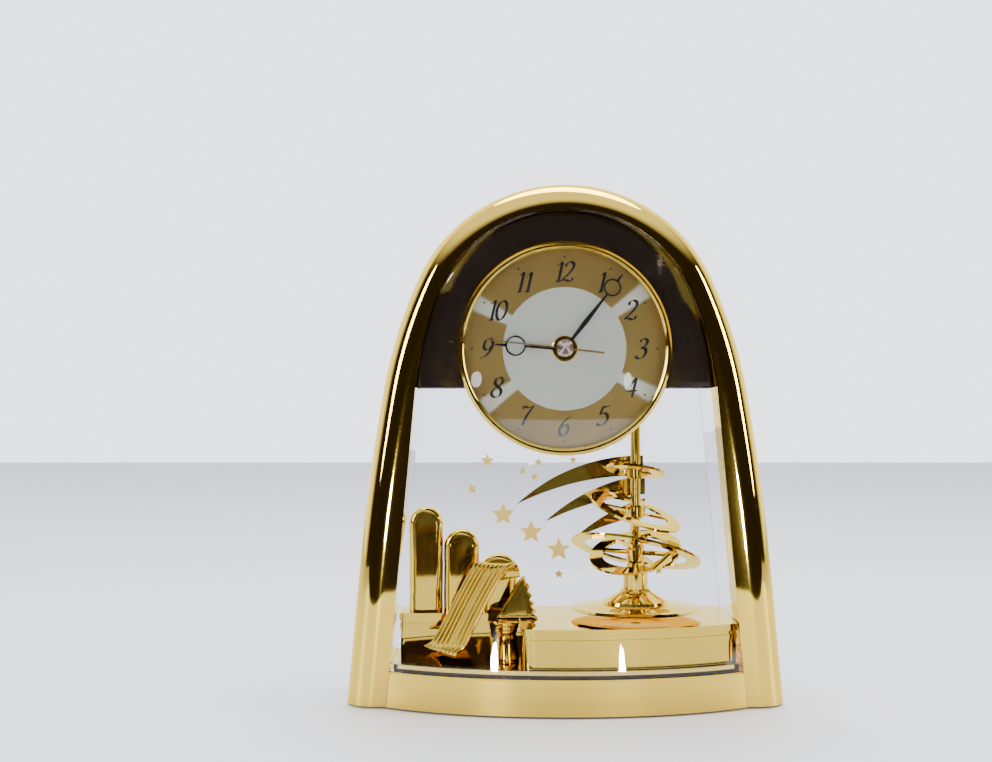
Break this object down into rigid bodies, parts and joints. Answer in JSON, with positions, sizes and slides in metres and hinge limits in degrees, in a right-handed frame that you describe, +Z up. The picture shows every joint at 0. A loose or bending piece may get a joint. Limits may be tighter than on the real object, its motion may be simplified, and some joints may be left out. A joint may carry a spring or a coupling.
{
  "type": "anniversary clock",
  "caption": "Mantel clock with a gold arch, bowed clear cover, round dial and a revolving pendulum over a gold stage with small ornaments.",
  "frame": {"origin": "on the surface it stands on, under the middle of its bounding box", "axes": "+Z up, +Y to the back, +X to the right seen from the front"},
  "size_m": [0.2208, 0.098, 0.2636],
  "materials": {
    "gold_plating": "mirror gold vacuum plating on moulded ABS",
    "rose_plating": "dark rose mirror plating on moulded ABS",
    "clear_acrylic": "clear polished acrylic",
    "dark_abs": "fine moulded texture",
    "rubber_foot": "matte",
    "steel": "plated steel",
    "dial_metal": "circular-brushed champagne gold anodising",
    "dial_paint": "matte cream print on aluminium",
    "gold_metal": "polished gold-plated brass",
    "black_lacquer": "gloss black lacquer",
    "hand_gold": "pale gold lacquer",
    "rose_metal": "spun rose gold",
    "movement_abs": "moulded ABS",
    "gear_acetal": "moulded acetal",
    "copper": "enamelled copper winding",
    "board": "glass-epoxy circuit board",
    "cell_jacket": "plain printed jacket",
    "contact": "nickel-plated spring steel"
  },
  "bodies": {
    "root": {"base_plinth": "gold_plating", "base_plate": "dark_abs", "base_feet": "rubber_foot", "base_screws": "steel", "arch_frame": "gold_plating", "arch_back": "dark_abs", "front_cover": "clear_acrylic", "rear_housing": "clear_acrylic", "dial_plate": "dial_metal", "dial_centre": "dial_paint", "bezel_ring": "gold_metal", "dial_lens": "clear_acrylic", "dial_surround": "rose_plating", "movement_case": "movement_abs", "movement_lid": "movement_abs", "fixing_nut": "gold_metal", "stator": "steel", "coil": "copper", "circuit_board": "board", "crystal": "contact", "movement_housing": "dark_abs", "rear_cover": "dark_abs", "rear_screws": "steel", "battery": "cell_jacket", "battery_contacts": "contact", "pendulum_bush": "gold_metal", "pendulum_motor": "dark_abs", "stage": "gold_plating", "pillar_1": "gold_plating", "pillar_2": "gold_plating", "pillar_3": "gold_plating", "ribbon": "gold_plating", "peak": "gold_plating", "pedestal": "gold_plating", "stars": "gold_plating", "comet_trails": "gold_plating"},
    "hour": {"hour_hand": "black_lacquer", "hour_wheel": "gear_acetal"},
    "minute": {"minute_hand": "black_lacquer", "cannon_pinion": "gear_acetal"},
    "seconds": {"second_hand": "hand_gold", "hand_cap": "rose_metal", "seconds_wheel": "gear_acetal"},
    "centre_wheel": {"centre_wheel": "gear_acetal"},
    "third_wheel": {"third_wheel": "gear_acetal"},
    "step_wheel": {"step_wheel": "gear_acetal"},
    "rotor": {"rotor": "gear_acetal"},
    "time_setting": {"minute_wheel": "gear_acetal", "time_set_knob": "dark_abs"},
    "pendulum": {"pendulum_rod": "gold_metal", "pendulum_gear": "gear_acetal", "pendulum_hubs": "gold_plating", "pendulum_disc": "gold_plating", "pendulum_ring_1": "gold_plating", "pendulum_ring_2": "gold_plating", "pendulum_ring_3": "gold_plating", "pendulum_ring_4": "gold_plating"},
    "motor_pinion": {"pendulum_pinion": "gear_acetal"},
    "battery_door": {"battery_door": "dark_abs"},
    "pendulum_switch": {"pendulum_switch": "dark_abs"}
  },
  "joints": [
    {"name": "minute_turn", "type": "hinge", "parent": "root", "child": "minute", "pos_m": [0, -0.005, 0.18], "axis": [0, 1, 0], "continuous": true},
    {"name": "hour_turn", "type": "hinge", "parent": "root", "child": "hour", "pos_m": [0, -0.005, 0.18], "axis": [0, 1, 0], "continuous": true},
    {"name": "time_setting_turn", "type": "hinge", "parent": "root", "child": "time_setting", "pos_m": [-0.00848, 0.005, 0.17152], "axis": [0, 1, 0], "continuous": true},
    {"name": "seconds_turn", "type": "hinge", "parent": "root", "child": "seconds", "pos_m": [0, -0.005, 0.18], "axis": [0, 1, 0], "continuous": true},
    {"name": "third_wheel_turn", "type": "hinge", "parent": "root", "child": "third_wheel", "pos_m": [0.00815, 0.009, 0.18815], "axis": [0, 1, 0], "continuous": true},
    {"name": "centre_wheel_turn", "type": "hinge", "parent": "root", "child": "centre_wheel", "pos_m": [0, 0.0078, 0.18], "axis": [0, 1, 0], "continuous": true},
    {"name": "step_wheel_turn", "type": "hinge", "parent": "root", "child": "step_wheel", "pos_m": [-0.00636, 0.012, 0.18636], "axis": [0, 1, 0], "continuous": true},
    {"name": "rotor_turn", "type": "hinge", "parent": "root", "child": "rotor", "pos_m": [-0.01156, 0.015, 0.19156], "axis": [0, 1, 0], "continuous": true},
    {"name": "pendulum_turn", "type": "hinge", "parent": "root", "child": "pendulum", "pos_m": [0.0374, 0.009, 0.16], "axis": [0, 0, 1], "continuous": true},
    {"name": "motor_pinion_turn", "type": "hinge", "parent": "root", "child": "motor_pinion", "pos_m": [0.0374, 0.01775, 0.166], "axis": [0, 0, 1], "continuous": true},
    {"name": "battery_door_hinge", "type": "hinge", "parent": "root", "child": "battery_door", "pos_m": [0, 0.0461, 0.2308], "axis": [1, 0, 0], "range_deg": [0, 105]},
    {"name": "pendulum_switch_slide", "type": "slide", "parent": "root", "child": "pendulum_switch", "axis": [1, 0, 0], "range_m": [0, 0.004]}
  ],
  "couplings": [
    {"joint": "hour_turn", "follows": "minute_turn", "ratio": 0.083333},
    {"joint": "time_setting_turn", "follows": "minute_turn", "ratio": -0.33333},
    {"joint": "third_wheel_turn", "follows": "seconds_turn", "ratio": -0.13333},
    {"joint": "centre_wheel_turn", "follows": "seconds_turn", "ratio": 0.016667},
    {"joint": "step_wheel_turn", "follows": "seconds_turn", "ratio": -5},
    {"joint": "rotor_turn", "follows": "seconds_turn", "ratio": 30},
    {"joint": "motor_pinion_turn", "follows": "pendulum_turn", "ratio": -4}
  ]
}
